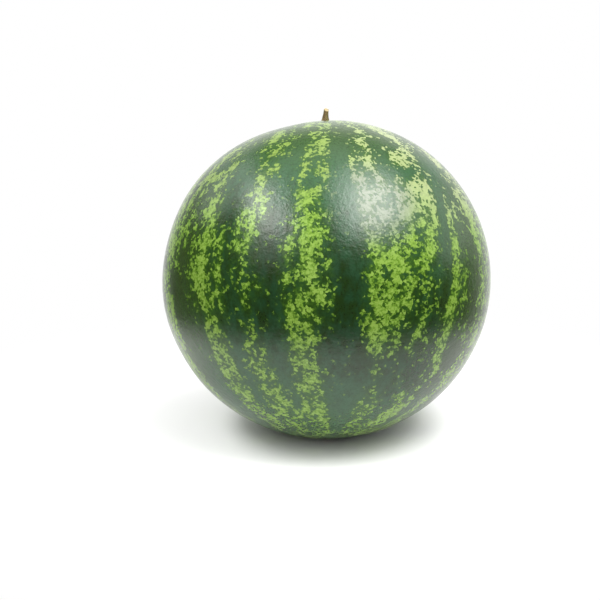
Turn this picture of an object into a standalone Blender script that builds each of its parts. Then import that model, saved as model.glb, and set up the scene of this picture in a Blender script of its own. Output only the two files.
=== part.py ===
"""A whole round watermelon, resting on a small flat spot, with the dry stub of its stem.

Two solids: the fruit, and the stem, whose root stands in a narrow socket at the fruit's stem end.
Both are modelled upright round the fruit's own axis, centred on the fruit. An empty then leans
them back together and sets the flat spot on the floor, at z = 0.

Run with: blender --background --python part.py
"""

import math

import bmesh
import bpy
from mathutils import Matrix, Vector

# ---- The fruit: metres, measured from its centre, stem end up, front towards -Y ----
EQUATOR_RADIUS = 0.1250
POLAR_RADIUS = 0.1214
RIB_COUNT = 10
RIB_HEIGHT = 0.00035
LEAN_BACK = math.radians(14)
LEAN_LEFT = math.radians(0.5)
FLAT_DEPTH = 0.0014

# Broad swells and flats of the skin: longitude, latitude, width (degrees), height (metres).
# Longitude 0 is the front and 90 the fruit's right, seen from the front.
SWELLS = (
    (90, 52, 22, 0.0005),
    (90, -8, 24, -0.0002),
    (-90, 76, 15, -0.0021),
    (-90, 38, 16, 0.0005),
    (-90, 16, 13, -0.0005),
    (-90, -8, 14, 0.0006),
    (160, 40, 30, 0.0006),
    (185, -12, 34, -0.0009),
    (-140, -35, 26, 0.0006),
)

# The stem end: a shallow hollow with a level floor, and the socket in its middle.
HOLLOW_DEPTH = 0.0024
HOLLOW_RADIUS = 0.024
HOLLOW_FLOOR_RADIUS = 0.0066
SOCKET_RADIUS = 0.0030
SOCKET_FLOOR_RADIUS = 0.0025
SOCKET_DEPTH = 0.0050

# The blossom end: a small corky button in a shallow dimple.
SCAR_DIMPLE_DEPTH = 0.0010
SCAR_DIMPLE_RADIUS = 0.0080
SCAR_BUTTON_HEIGHT = 0.0007
SCAR_BUTTON_RADIUS = 0.0030

FRUIT_STEPS = 72
FRUIT_ROWS = 44
ROW_CROWDING = 0.45

# ---- The stem, measured up from the hollow's floor ----
CLEARANCE = 0.0003
STEM_LENGTH = 0.0103
STEM_SWAY = 0.0012
STEM_RIDGES = 5
STEM_RIDGE_SHARE = 0.10
STEM_TWIST = math.radians(38)
STEM_STEPS = 30
STEM_CUT_NORMAL = Vector((0.25, -0.58, 0.78)).normalized()
# Height and radius up the outside, from the foot's edge to the tip.
STEM_PROFILE = (
    (0.0000, 0.0038),
    (0.0003, 0.0041),
    (0.0008, 0.0037),
    (0.0014, 0.0032),
    (0.0024, 0.0028),
    (0.0038, 0.0024),
    (0.0055, 0.0021),
    (0.0072, 0.0019),
    (0.0088, 0.0018),
    (0.0104, 0.0018),
    (0.0124, 0.0018),
)

MERGE = 0.00001


def clear_scene():
    for obj in list(bpy.data.objects):
        bpy.data.objects.remove(obj)


def smoothstep(low, high, value):
    """0 below low, 1 above high, and an even rise between them."""
    share = min(1.0, max(0.0, (value - low) / (high - low)))
    return share * share * (3 - 2 * share)


def make_material(name, colour, roughness):
    material = bpy.data.materials.new(name)
    material.use_nodes = True
    shader = material.node_tree.nodes["Principled BSDF"]
    shader.inputs["Base Color"].default_value = (*colour, 1)
    shader.inputs["Roughness"].default_value = roughness
    shader.inputs["Metallic"].default_value = 0
    return material


def make_turned(name, profile, steps, collection):
    """A solid turned about Z from (radius, height) points that run from the top to the bottom."""
    outline = bpy.data.meshes.new(name + "_outline")
    points = [(radius, 0, height) for radius, height in profile]
    outline.from_pydata(points, [(i, i + 1) for i in range(len(points) - 1)], [])
    turned = bpy.data.objects.new(name, outline)
    collection.objects.link(turned)
    screw = turned.modifiers.new("Turn", "SCREW")
    screw.steps = screw.render_steps = steps
    screw.use_merge_vertices = True
    screw.merge_threshold = MERGE
    graph = bpy.context.evaluated_depsgraph_get()
    solid = bpy.data.meshes.new_from_object(turned.evaluated_get(graph))
    solid.name = name
    turned.modifiers.clear()
    turned.data = solid
    bpy.data.meshes.remove(outline)
    return turned


def cut_off(mesh, point, normal):
    """Removes what lies beyond the plane, on the normal's side, and closes the cut with one face."""
    solid = bmesh.new()
    solid.from_mesh(mesh)
    geometry = solid.verts[:] + solid.edges[:] + solid.faces[:]
    bmesh.ops.bisect_plane(
        solid, geom=geometry, dist=MERGE, plane_co=point, plane_no=normal, clear_outer=True
    )
    rim = [edge for edge in solid.edges if edge.is_boundary]
    bmesh.ops.edgeloop_fill(solid, edges=rim)
    bmesh.ops.recalc_face_normals(solid, faces=solid.faces[:])
    solid.to_mesh(mesh)
    solid.free()


# ---- Fruit ----


def skin_height(radius):
    """How much the hollow, the dimple and the button lower or raise the ends, at this radius."""
    hollow = -HOLLOW_DEPTH * (1 - smoothstep(0, HOLLOW_RADIUS, radius))
    dimple = -SCAR_DIMPLE_DEPTH * (1 - smoothstep(0, SCAR_DIMPLE_RADIUS, radius))
    button = SCAR_BUTTON_HEIGHT * (1 - smoothstep(0.5, 1, radius / SCAR_BUTTON_RADIUS))
    return hollow, dimple + button


def fruit_profile():
    """(radius, height) from the socket's floor, over the hollow and down to the blossom end."""
    first = math.asin(HOLLOW_FLOOR_RADIUS / EQUATOR_RADIUS)
    last = math.pi - math.asin(SCAR_DIMPLE_RADIUS / EQUATOR_RADIUS)
    floor = POLAR_RADIUS - HOLLOW_DEPTH
    points = [
        (0, floor - SOCKET_DEPTH),
        (SOCKET_FLOOR_RADIUS, floor - SOCKET_DEPTH),
        (SOCKET_RADIUS, floor),
        (HOLLOW_FLOOR_RADIUS, floor),
    ]
    for row in range(1, FRUIT_ROWS + 1):
        share = row / FRUIT_ROWS
        share -= ROW_CROWDING * math.sin(2 * math.pi * share) / (2 * math.pi)
        angle = first + (last - first) * share
        radius = EQUATOR_RADIUS * math.sin(angle)
        hollow, dimple = skin_height(radius)
        lift = hollow if angle < math.pi / 2 else -dimple
        points.append((radius, POLAR_RADIUS * math.cos(angle) + lift))
    for share in (0.75, 0.54, 0.37, 0.30, 0.22, 0):
        radius = SCAR_DIMPLE_RADIUS * share
        height = POLAR_RADIUS * math.sqrt(1 - (radius / EQUATOR_RADIUS) ** 2)
        points.append((radius, -height - skin_height(radius)[1]))
    return points


def direction(longitude, latitude):
    longitude, latitude = math.radians(longitude), math.radians(latitude)
    level = math.cos(latitude)
    return Vector(
        (level * math.sin(longitude), -level * math.cos(longitude), math.sin(latitude))
    )


def swell_out(mesh):
    """Moves the skin out and in, by the ribs and the swells, and leaves both ends as turned."""
    swells = [
        (direction(longitude, latitude), math.radians(width), height)
        for longitude, latitude, width, height in SWELLS
    ]
    for vertex in mesh.vertices:
        out = vertex.co.normalized()
        radius = math.hypot(vertex.co.x, vertex.co.y)
        ends = smoothstep(HOLLOW_FLOOR_RADIUS, HOLLOW_RADIUS, radius)
        longitude = math.atan2(vertex.co.x, -vertex.co.y)
        lift = RIB_HEIGHT * math.cos(RIB_COUNT * longitude) * (radius / EQUATOR_RADIUS) ** 2
        for centre, width, height in swells:
            lift += height * math.exp(-((out.angle(centre) / width) ** 2))
        vertex.co += out * (lift * ends)


def make_fruit(collection, down):
    """The fruit, and how far below its centre the flat spot lies."""
    fruit = make_turned("fruit", fruit_profile(), FRUIT_STEPS, collection)
    swell_out(fruit.data)
    flat_drop = max(vertex.co.dot(down) for vertex in fruit.data.vertices) - FLAT_DEPTH
    cut_off(fruit.data, down * flat_drop, down)
    fruit.data.shade_smooth()
    fruit.data.set_sharp_from_angle(angle=math.radians(30))
    fruit.data.materials.append(make_material("rind", (0.075, 0.16, 0.04), 0.42))
    return fruit, flat_drop


# ---- Stem ----


def stem_profile():
    """(radius, height) from the tip down the outside, then down the root into the socket."""
    points = [(0, STEM_PROFILE[-1][0])]
    points += [(radius, height) for height, radius in reversed(STEM_PROFILE)]
    points += [
        (SOCKET_RADIUS - CLEARANCE, 0),
        (SOCKET_FLOOR_RADIUS - CLEARANCE, -SOCKET_DEPTH),
        (0, -SOCKET_DEPTH),
    ]
    return points


def shape_stem(mesh):
    """Twists the ridges round what stands above the root, and sways it to one side."""
    for vertex in mesh.vertices:
        radius = math.hypot(vertex.co.x, vertex.co.y)
        in_root = vertex.co.z < MERGE and radius < SOCKET_RADIUS
        if in_root:
            continue
        share = vertex.co.z / STEM_LENGTH
        turn = math.atan2(vertex.co.y, vertex.co.x) + STEM_TWIST * share
        vertex.co.xy *= 1 + STEM_RIDGE_SHARE * math.cos(STEM_RIDGES * turn)
        vertex.co.x += STEM_SWAY * share**1.5


def make_stem(collection):
    stem = make_turned("stem", stem_profile(), STEM_STEPS, collection)
    shape_stem(stem.data)
    cut_off(stem.data, Vector((STEM_SWAY, 0, STEM_LENGTH)), STEM_CUT_NORMAL)
    stem.data.shade_smooth()
    stem.data.set_sharp_from_angle(angle=math.radians(40))
    stem.data.materials.append(make_material("stem", (0.19, 0.12, 0.045), 0.8))
    stem.location.z = POLAR_RADIUS - HOLLOW_DEPTH + CLEARANCE
    return stem


# ---- The two together ----


def make_watermelon():
    collection = bpy.data.collections.new("watermelon")
    bpy.context.scene.collection.children.link(collection)
    leaning = Matrix.Rotation(-LEAN_BACK, 3, "X") @ Matrix.Rotation(-LEAN_LEFT, 3, "Y")
    fruit, flat_drop = make_fruit(collection, leaning.inverted() @ Vector((0, 0, -1)))
    stem = make_stem(collection)

    skin = [leaning @ vertex.co for vertex in fruit.data.vertices]
    middle_x = (max(p.x for p in skin) + min(p.x for p in skin)) / 2
    middle_y = (max(p.y for p in skin) + min(p.y for p in skin)) / 2
    centre = bpy.data.objects.new("fruit_centre", None)
    collection.objects.link(centre)
    centre.location = (-middle_x, -middle_y, flat_drop)
    centre.rotation_euler = leaning.to_euler()
    for piece in (fruit, stem):
        piece.parent = centre


clear_scene()
make_watermelon()
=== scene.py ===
"""The looks of the whole watermelon: its marbled rind, its dry stem, and a plain white studio.

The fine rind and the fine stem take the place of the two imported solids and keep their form. Both are
worked out upright round the fruit's own axis, with the fruit's centre as the origin, the stem end up
and the front towards -Y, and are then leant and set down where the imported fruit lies.
"""

import math
import random

import bpy
import numpy as np
from mathutils import Matrix, Vector


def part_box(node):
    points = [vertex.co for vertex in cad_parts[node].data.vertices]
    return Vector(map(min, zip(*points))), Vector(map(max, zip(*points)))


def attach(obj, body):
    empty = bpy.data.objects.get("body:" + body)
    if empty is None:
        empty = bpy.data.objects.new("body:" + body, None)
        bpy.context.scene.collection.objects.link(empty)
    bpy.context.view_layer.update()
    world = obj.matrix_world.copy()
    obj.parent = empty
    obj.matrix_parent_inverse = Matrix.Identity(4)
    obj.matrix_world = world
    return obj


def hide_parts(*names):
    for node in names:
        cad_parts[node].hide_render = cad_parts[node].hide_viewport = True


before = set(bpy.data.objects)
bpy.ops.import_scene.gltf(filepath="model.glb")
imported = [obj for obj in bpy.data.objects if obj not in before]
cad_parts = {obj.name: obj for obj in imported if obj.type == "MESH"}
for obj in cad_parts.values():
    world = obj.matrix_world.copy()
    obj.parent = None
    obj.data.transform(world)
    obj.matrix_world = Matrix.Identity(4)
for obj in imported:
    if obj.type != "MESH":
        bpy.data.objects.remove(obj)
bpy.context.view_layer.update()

MM = 0.001

# ---- The form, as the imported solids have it: metres, degrees where it says so ----
EQUATOR_RADIUS = 125.0 * MM
POLAR_RADIUS = 121.4 * MM
RIB_COUNT = 10
RIB_HEIGHT = 0.35 * MM
LEAN_BACK = math.radians(14)
LEAN_LEFT = math.radians(0.5)
FLAT_DEPTH = 1.4 * MM
# Longitude, latitude and width in degrees, height in metres. Longitude 0 is the front.
SWELLS = (
    (90, 52, 22, 0.5 * MM),
    (90, -8, 24, -0.2 * MM),
    (-90, 76, 15, -2.1 * MM),
    (-90, 38, 16, 0.5 * MM),
    (-90, 16, 13, -0.5 * MM),
    (-90, -8, 14, 0.6 * MM),
    (160, 40, 30, 0.6 * MM),
    (185, -12, 34, -0.9 * MM),
    (-140, -35, 26, 0.6 * MM),
)
HOLLOW_DEPTH = 2.4 * MM
HOLLOW_RADIUS = 24.0 * MM
HOLLOW_FLOOR_RADIUS = 6.6 * MM
SCAR_DIMPLE_DEPTH = 1.0 * MM
SCAR_DIMPLE_RADIUS = 8.0 * MM
SCAR_BUTTON_HEIGHT = 0.7 * MM
SCAR_BUTTON_RADIUS = 3.0 * MM

STEM_CLEARANCE = 0.3 * MM
STEM_LENGTH = 10.3 * MM
STEM_SWAY = 1.2 * MM
STEM_RIDGES = 5
STEM_RIDGE_SHARE = 0.10
STEM_TWIST = math.radians(38)
STEM_CUT_NORMAL = Vector((0.25, -0.58, 0.78)).normalized()
# Height and radius up the outside, in millimetres.
STEM_PROFILE = (
    (-0.3, 4.0),
    (0.3, 4.1),
    (0.8, 3.7),
    (1.4, 3.2),
    (2.4, 2.8),
    (3.8, 2.4),
    (5.5, 2.1),
    (7.2, 1.9),
    (8.8, 1.8),
    (12.4, 1.8),
)
# Fine fibres up the stem, and how far its cut face is hollowed.
FIBRE_COUNT = 9
FIBRE_SEED = 7
FIBRE_SHARE = 0.007
CUT_HOLLOW = 0.16 * MM

# ---- Fineness ----
FACE_CELLS = 128
POLE_CROWDING = 0.5
# The gap round each face in the sheet that the skin's own map lays out, as a share of the sheet.
SHEET_GAP = 0.004
STEM_SIDES = 120
STEM_ROWS = 70
STEM_CAP_ROWS = 14
CUT_PASSES = 12

# ---- The stripes ----
# Each pale stripe or patch of the front, in rows from the top down: the latitude, the left and right edge
# there (longitudes), all in degrees, and the share of the skin between them that is pale.
FRONT_STRIPES = (
    # thin scatters of flakes round the stripes
    ((60, -40, -17, 0.5), (52, -37, -21, 0.45), (44, -33, -21, 0.35), (36, -30, -20, 0.25)),
    ((62, -13, 2, 0.42), (55, -13, 2, 0.4), (46, -13, 1, 0.38), (38, -13, 1, 0.34), (31, -12, 0, 0.28)),
    ((34, -12, -1, 0.3), (30, -12, -2, 0.5), (24, -12.5, -2, 0.6), (16, -13, -1, 0.58),
     (11, -14, -1, 0.48), (6, -15, -1, 0.36), (0, -15, 0, 0.3), (-8, -16, 1, 0.34), (-16, -15, 0, 0.3)),
    ((31, -54, -42, 0.3), (20, -55, -41, 0.42), (8, -55, -36.5, 0.4), (-4, -53, -36.5, 0.4),
     (-14, -50, -36.5, 0.3)),
    ((26, -33, -22, 0.34), (16, -34, -23, 0.36), (6, -34, -24, 0.26), (-8, -34, -25, 0.22)),
    # the scatter under the right highlight, kept thin partly as painted highlight
    ((58, 14, 36, 0.1), (50, 12, 30, 0.15), (44, 9, 25, 0.2), (38, 9, 24, 0.3), (30, 9, 24, 0.42),
     (20, 10, 25, 0.42), (16, 11, 30, 0.45)),
    ((50, 32, 50, 0.3), (45, 28, 48, 0.45), (40, 29, 43, 0.28), (36, 26, 45, 0.42),
     (30, 25.5, 44.5, 0.64), (22, 25, 42.5, 0.7), (16, 24, 41, 0.64)),
    ((16, 11.5, 40, 0.45), (10.5, 12.5, 38, 0.56), (5, 13, 35, 0.58), (2, 13, 33, 0.5),
     (0, 12.5, 29, 0.5), (-5, 12, 28.5, 0.54), (-9, 12.5, 28.5, 0.54), (-12, 13, 28, 0.52),
     (-15, 11, 25, 0.5), (-20, 11, 25, 0.48), (-26, 13, 26, 0.4)),
    ((6, 33, 40, 0.3), (-4, 29, 37, 0.3), (-14, 27, 36, 0.2)),
    ((60, 52, 86, 0.3), (45, 58, 84, 0.4), (30, 60, 82, 0.42), (15, 60, 76, 0.48), (0, 61, 78, 0.4),
     (-20, 60, 78, 0.42), (-45, 58, 76, 0.4)),
    ((34, 45, 51, 0.3), (20, 45, 51, 0.35), (8, 43, 50.5, 0.4), (-4, 42, 50, 0.4), (-20, 40, 50, 0.35)),
    # far left edge
    ((62, -88, -74, 0.5), (40, -82, -72, 0.55), (33, -79, -70, 0.8), (23, -76, -67, 0.65),
     (18, -80, -66, 0.75), (13, -75, -63.5, 0.88), (9, -74, -64.5, 0.8), (5, -73, -65, 0.5),
     (3, -78, -67, 0.4), (-1, -78, -67, 0.85), (-4, -77, -68, 0.6), (-6, -74, -65.5, 0.8),
     (-12, -78, -66, 0.7), (-40, -78, -66, 0.62), (-78, -88, -60, 0.5)),
    ((62, -60, -54, 0.45), (57, -61, -55.5, 0.65), (48, -65, -59.5, 0.72), (39, -66, -61, 0.72),
     (28, -66.5, -62, 0.72), (20, -66, -61.8, 0.7), (12, -64.8, -61.2, 0.72), (4, -64, -61, 0.55)),
    # left stripe: its top and the branch beside it
    ((57, -55.5, -53.5, 0.5), (54, -55, -52.3, 0.95), (50, -53.8, -51, 0.95), (47, -53, -51.2, 0.85)),
    ((46.5, -49, -47.2, 0.8), (44, -48.8, -45, 0.8), (41, -49, -44.2, 0.88), (38.5, -49, -46, 0.88),
     (36, -48.4, -46.2, 0.9), (33, -46.4, -44.8, 0.85)),
    ((44.5, -65.5, -61.5, 0.4), (41.5, -64, -59, 0.5), (38.5, -61.6, -58, 0.85), (36, -61.2, -58.4, 0.85),
     (30, -59.6, -57.4, 0.88), (26, -59, -56.8, 0.85), (21.5, -58, -56.2, 0.8)),
    ((40.8, -58, -54, 0.7), (39.6, -58, -50.5, 0.7), (38, -61, -50.2, 0.88), (36, -60, -50.2, 0.8),
     (35, -57, -50.5, 0.4)),
    ((34.8, -52.2, -49.5, 0.8), (33, -51.8, -47.4, 0.85), (31, -50, -47.2, 0.8)),
    ((21.8, -61, -58.6, 0.85), (19.5, -60.8, -58.2, 0.85), (16, -59.8, -56.2, 0.92),
     (13.5, -59.4, -57.2, 0.9), (11, -58.8, -58, 0.7)),
    # left stripe: its main run
    ((29, -50, -44.5, 0.5), (27.5, -49.8, -44.8, 0.85), (25.5, -50, -45, 0.75), (24.3, -53, -44, 0.85),
     (22.3, -51, -43.6, 0.85), (21, -46.8, -43, 0.85), (19, -48, -42.4, 0.75), (16.5, -47.8, -42, 0.82),
     (14, -48, -43, 0.92), (10.5, -48.5, -43, 0.88), (7.5, -50.3, -43.8, 0.78), (5, -51, -44, 0.8),
     (2.5, -52, -43.5, 0.75), (0, -52, -43.4, 0.7), (-2.5, -50.8, -41.5, 0.68), (-5, -49, -41.5, 0.64),
     (-8, -48, -41, 0.74), (-12, -47, -40, 0.66), (-20, -48, -39, 0.66), (-34, -48, -38, 0.62),
     (-50, -49, -36, 0.6), (-78, -52, -28, 0.5)),
    ((28.8, -44.2, -41.6, 0.7), (26, -44.4, -41.8, 0.88), (23.5, -44.4, -42.6, 0.8)),
    ((18.5, -54.1, -52.7, 0.8), (16.8, -54.1, -52.7, 0.8)),
    ((13.8, -53, -50.6, 0.7), (10.5, -53, -50.8, 0.7)),
    ((8, -53.8, -51.4, 0.55), (3.5, -54, -51.6, 0.45)),
    ((16.4, -38, -37, 0.85), (13.5, -39.5, -36.3, 0.95), (10.5, -39.8, -36.4, 0.95),
     (8, -39.2, -37.4, 0.85)),
    ((12.6, -41.4, -39.8, 0.85), (9, -41.4, -40, 0.8)),
    ((5.5, -39.9, -38.6, 0.85), (3, -40.4, -38.2, 0.95), (-1, -40.2, -38, 0.95), (-5, -40, -37.6, 0.9),
     (-9, -39.4, -36.8, 0.88), (-12, -38.2, -36.8, 0.6)),
    # left of the middle: the top
    ((80, -40, 0, 0.5), (71, -22, -12, 0.75), (68, -19.5, -12.5, 0.88), (65.5, -16.5, -13, 0.8),
     (64, -15.4, -14.4, 0.5)),
    ((72, -35, -31, 0.7), (69.4, -32.5, -29.3, 0.88), (66.5, -29.6, -26.2, 0.88), (63, -27, -23, 0.9),
     (59.5, -26.4, -22.4, 0.9), (56, -26, -22.5, 0.8), (52.5, -25, -22.4, 0.8), (49.5, -24, -22.4, 0.75)),
    ((66, -44, -34, 0.5), (62, -40.5, -31, 0.8), (60, -40, -29, 0.95), (57.5, -37.5, -29, 0.9),
     (55, -36.5, -29.6, 0.78), (53, -36, -32, 0.8), (50, -35, -33, 0.8), (48.6, -34, -30.4, 0.7)),
    ((57, -29.6, -25, 0.5), (54, -32, -28, 0.5), (50, -31, -28, 0.35)),
    # left of the middle: down to where it ends above the equator
    ((49, -32.4, -27, 0.6), (47, -31.6, -26.8, 0.65), (45.5, -31, -27.6, 0.7), (42, -29.8, -27.6, 0.75),
     (40.3, -29, -24, 0.65), (39, -29, -21.8, 0.75), (37.5, -29.6, -24, 0.76), (34, -29.4, -24.8, 0.72),
     (31, -28.8, -25, 0.7), (28, -28, -23.6, 0.65), (26, -28.5, -24, 0.6)),
    ((27.5, -25, -22.6, 0.75), (23, -24.6, -22.6, 0.8), (19, -24.4, -22.6, 0.75)),
    ((25.5, -32, -26, 0.5), (23.5, -33.2, -25.6, 0.72), (20.5, -31.8, -25.4, 0.76), (18, -31, -25, 0.78),
     (15, -30, -24.8, 0.8), (12, -30, -25.2, 0.8), (10.5, -31.2, -26, 0.8), (9, -32.6, -27, 0.8),
     (7.4, -30.4, -28.6, 0.7)),
    ((17.8, -32.6, -31, 0.85), (14, -33, -30.6, 0.95), (11, -32.8, -30.2, 0.95), (9, -31.8, -29.6, 0.9)),
    ((5, -29.4, -28.2, 0.85), (0, -29.3, -28.3, 0.8)),
    ((4.5, -33.1, -32.3, 0.5), (0, -33.1, -32.2, 0.6)),
    ((4.8, -27.6, -25.4, 0.6), (3.4, -27.4, -25.6, 0.55)),
    ((-1.4, -27.4, -26.4, 0.7), (-6, -27.3, -26, 0.65)),
    ((-1.8, -24.6, -22.4, 0.65), (-3.8, -24.2, -22, 0.6)),
    ((-4.6, -31, -30, 0.6), (-7, -30.4, -28.4, 0.88), (-10.6, -29, -27.6, 0.8)),
    ((-14, -31, -26, 0.3), (-30, -31, -23, 0.5), (-50, -31, -18, 0.55), (-78, -32, -8, 0.5)),
    # the middle stripe: its broken upper part
    ((78, -22, 10, 0.4), (66, -8, 3, 0.5), (64, -5, 0.5, 0.55), (61.5, -4.5, -1.8, 0.7),
     (60.5, -3.6, -2.2, 0.4)),
    ((59.6, -10.6, -6.8, 0.8), (57.8, -11, -4.6, 0.95), (55.4, -9.4, -6.8, 0.85)),
    ((58.9, -2, -0.6, 0.8), (56.3, -2, 0.6, 0.7), (55, -4.2, 0.6, 0.92), (52.5, -4.6, 0.4, 0.95),
     (50.5, -2.8, -0.4, 0.7)),
    ((50.2, -9.4, -7, 0.8), (48.5, -9.6, -7, 0.88), (46.4, -10.4, -8, 0.78), (44, -11, -8.7, 0.82),
     (41, -11.2, -8, 0.92), (38.4, -10.6, -7.4, 0.8)),
    ((49.6, -11.8, -10, 0.7), (48, -11.6, -10, 0.6)),
    ((50.4, -4.4, -3, 0.88), (48, -4.2, -2.8, 0.75)),
    ((45.5, -2, 0, 0.7), (42, -3, -0.4, 0.85), (39, -2.6, -0.4, 0.8)),
    ((44.2, -7.2, -5.4, 0.6), (42.4, -7, -4.4, 0.7)),
    ((38.6, -5.6, -3.4, 0.85), (36.8, -6.6, -4.2, 0.88)),
    ((37, -12, 0, 0.18), (31, -12, 0, 0.2)),
    ((35.5, -2.2, -0.6, 0.6), (31.6, -2, -0.4, 0.5)),
    # the middle stripe: its main run, thinner below the equator, partly less pale skin and partly painted
    # shade
    ((30.6, -11, -6.6, 0.75), (29, -11, -6, 0.92), (26, -10.6, -5.6, 0.92), (24.2, -10.6, -3.8, 0.88),
     (22.7, -10.2, -6, 0.5), (21.6, -9.9, -3.6, 0.88), (19, -9.8, -4, 0.88), (16.6, -9.6, -3, 0.78),
     (14.4, -10, -1.6, 0.92), (12.6, -9.8, -2, 0.7), (11, -9.6, -1.4, 0.85), (9.2, -9.8, -4, 0.9),
     (6, -10, -4, 0.92), (2.5, -10.4, -4, 0.66), (-0.5, -10.4, -3.6, 0.62), (-3, -10.6, -0.8, 0.57),
     (-5, -13.5, -0.6, 0.58), (-8, -14.4, -0.5, 0.57), (-11, -15, -4.4, 0.6), (-15, -15, -4.6, 0.6),
     (-20, -14.5, -5, 0.6), (-32, -14, -4, 0.6), (-50, -14, -1, 0.58), (-78, -14, 6, 0.5)),
    ((26.4, -5.4, -3.6, 0.8), (24.6, -5.2, -3.6, 0.8)),
    ((22.6, -2.8, -1, 0.78), (20, -2.4, -0.6, 0.6), (18, -1.4, 0.4, 0.78), (14, -1, 0.6, 0.6)),
    ((19.4, -13.6, -12.4, 0.6), (18.4, -13.6, -12.4, 0.6)),
    ((15, -13, -11.2, 0.6), (13, -15.2, -10.4, 0.85), (11.4, -14, -10.6, 0.85), (9.6, -14.4, -12.2, 0.85),
     (6, -14.6, -12.2, 0.92), (4.2, -14.2, -12.8, 0.8)),
    ((1.2, -15, -13.6, 0.85), (-2.6, -14.8, -13.3, 0.85)),
    ((5, -0.6, 0.8, 0.85), (3.4, -1.6, 0.8, 0.88), (1.4, -2, -0.2, 0.8)),
    ((-3.6, -0.2, 1.8, 0.6), (-9, -0.4, 1.6, 0.6)),
    # the broad double stripe, left part, above
    ((80, 6, 34, 0.5), (66, 21, 31, 0.5), (63, 22, 29, 0.78), (59.6, 22.6, 29.5, 0.7),
     (58.5, 22.5, 34.8, 0.88), (56.4, 23, 34.6, 0.7), (55.6, 25.6, 28.4, 0.6), (52.4, 26, 28, 0.6)),
    ((58.2, 21, 24.6, 0.88), (56, 18.5, 23.5, 0.88), (54, 17, 21.4, 0.92), (50.4, 17.2, 21.2, 0.88),
     (47.8, 19.4, 20.8, 0.85), (46.8, 17, 21, 0.65), (45.6, 15.6, 21.4, 0.88), (42, 15.6, 21.8, 0.95),
     (39.2, 15.8, 21.4, 0.85), (37.6, 13.4, 15, 0.6), (34, 13.2, 15, 0.7), (31.4, 13.2, 15, 0.5)),
    ((49, 15, 16.6, 0.75), (46.6, 15, 16.6, 0.7)),
    ((48.4, 12, 13.8, 0.78), (44, 10.4, 12.6, 0.78), (40.8, 9.2, 11, 0.68)),
    ((47, 22.4, 24.4, 0.8), (43, 22.6, 24.4, 0.75)),
    ((36.6, 10, 14, 0.8), (33.2, 10.2, 14.6, 0.72)),
    ((36.4, 18.4, 23, 0.72), (31, 18.6, 23, 0.78)),
    # the broad double stripe, left part, below; thinned under the right highlight, partly as painted
    # highlight
    ((33, 11, 22.6, 0.45), (29, 10, 20.4, 0.52), (25, 10, 22, 0.56), (21.4, 10.4, 18.6, 0.58),
     (18.6, 10.8, 16, 0.6), (15.8, 11.4, 14, 0.75), (13.6, 12.6, 15.8, 0.88), (10.8, 12.8, 16.4, 0.88),
     (9.8, 12.8, 27.6, 0.88), (8.2, 13, 27.4, 0.92), (7, 14, 19.4, 0.92), (4.4, 14, 19.4, 0.88),
     (2.6, 12.4, 16.2, 0.7), (-2, 12.4, 15.6, 0.68), (-7, 12.5, 15, 0.66), (-9.4, 13.6, 21.6, 0.66),
     (-13, 14, 22, 0.7), (-17, 12.2, 22, 0.72), (-20, 12.6, 20.6, 0.74), (-24.6, 15.4, 20, 0.7),
     (-27, 16, 19.6, 0.4), (-36, 17, 20, 0.3), (-50, 13, 25, 0.5), (-78, 8, 28, 0.5)),
    ((18.2, 19, 23, 0.82), (15.6, 19.4, 22.6, 0.8)),
    ((14.6, 8, 9.2, 0.7), (12.2, 8, 9, 0.7)),
    ((13.6, 19.8, 21.3, 0.7), (11, 19.8, 21.3, 0.7)),
    ((9.6, 28.8, 34.8, 0.82), (8.4, 29, 34.4, 0.8)),
    ((7.2, 22.2, 33, 0.88), (4.6, 22.4, 32.6, 0.88), (3.4, 20.4, 32, 0.6), (2.4, 19.8, 24.4, 0.78),
     (0.6, 20, 24, 0.7), (-1, 17.4, 23.2, 0.66), (-3.8, 17, 23, 0.66), (-5, 18, 28, 0.66),
     (-8.8, 18, 28.4, 0.7), (-10.4, 18, 28, 0.6), (-13, 23.4, 28, 0.75)),
    ((3, 26, 32.8, 0.38), (0, 26, 32.8, 0.3)),
    ((0.4, 24.4, 27.6, 0.78), (-4, 24.4, 27.6, 0.75)),
    ((6, 33, 35.8, 0.5), (2, 32, 36, 0.45), (-3, 31.6, 35.4, 0.4)),
    ((-10, 8.6, 11.6, 0.6), (-14, 8.4, 11.4, 0.6)),
    ((-15, 26.2, 28.8, 0.6), (-17, 26, 28.6, 0.5)),
    ((-19.6, 22, 25.8, 0.68), (-23.6, 22.2, 25.4, 0.62)),
    ((-25.4, 21.6, 25.4, 0.5), (-27.6, 22, 25.4, 0.45)),
    ((-12.8, 32.8, 34.6, 0.88), (-17, 30.6, 33.8, 0.92), (-21, 29.2, 32.2, 0.9), (-24.8, 29, 30.8, 0.8)),
    ((-21, 37.6, 39, 0.6), (-22.6, 37.6, 39, 0.6)),
    ((-21.4, 36, 38.8, 0.4), (-27.4, 35.4, 37, 0.4)),
    ((-24.6, 30.6, 32, 0.5), (-28, 30.4, 31.8, 0.5)),
    ((-33.4, 27, 30, 0.32), (-35, 27, 30, 0.3)),
    ((-37.4, 27, 32, 0.5), (-38.8, 28.4, 31.6, 0.5)),
    # the broad double stripe, right part
    ((82, 20, 70, 0.6), (72, 34, 52, 0.7), (66, 36, 56, 0.72), (61, 40, 54.5, 0.75), (57, 44, 52, 0.82),
     (54.6, 43.6, 49, 0.82), (51, 42, 46, 0.82), (49, 36, 48, 0.88), (46.6, 31, 45, 0.92),
     (44.4, 29.6, 41, 0.92), (42.6, 30, 36, 0.85), (40.4, 32.4, 36, 0.8), (38.2, 32.8, 36, 0.6)),
    ((42.6, 29.8, 32, 0.8), (40.6, 29.8, 32, 0.75)),
    ((49.6, 44, 47.4, 0.82), (46, 43.4, 48.4, 0.88), (42, 44, 46, 0.7)),
    ((35.6, 27.8, 31, 0.78), (31.2, 28, 31.4, 0.75)),
    ((36.6, 35.2, 37, 0.5), (35.2, 35.2, 37, 0.5)),
    ((37, 42, 43.4, 0.6), (35.6, 42, 43.4, 0.6)),
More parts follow.
